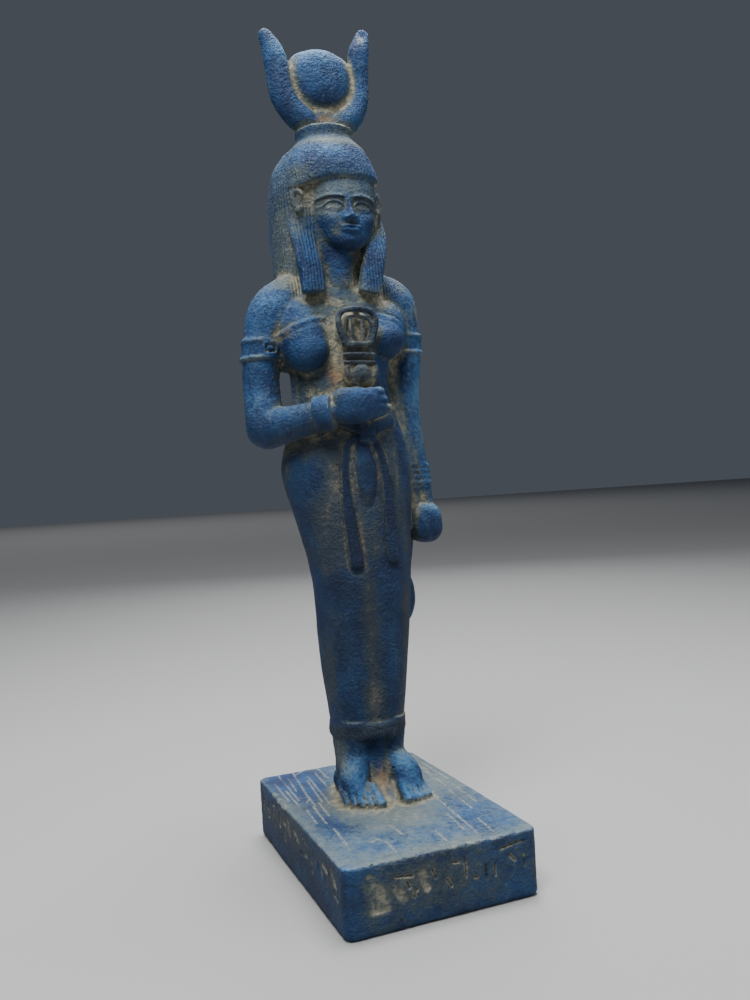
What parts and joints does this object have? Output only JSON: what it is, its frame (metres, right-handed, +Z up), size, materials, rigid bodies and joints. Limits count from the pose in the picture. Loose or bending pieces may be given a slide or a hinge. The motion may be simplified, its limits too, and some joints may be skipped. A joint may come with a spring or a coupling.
{
  "type": "hathor statue",
  "caption": "Standing goddess in a long dress with a horned sun disc, holding a rattle at the breast, cast in one piece with a low rectangular plinth.",
  "frame": {"origin": "middle of the plinth's underside", "axes": "+Z up, -Y the way the figure faces, +X towards the figure's left hand"},
  "size_m": [0.0624, 0.083, 0.2578],
  "materials": {
    "painted_stone": "matt lapis blue over cast stone, with a pale beige patina in the hollows"
  },
  "bodies": {
    "root": {"hathor_statue": "painted_stone"}
  },
  "joints": []
}
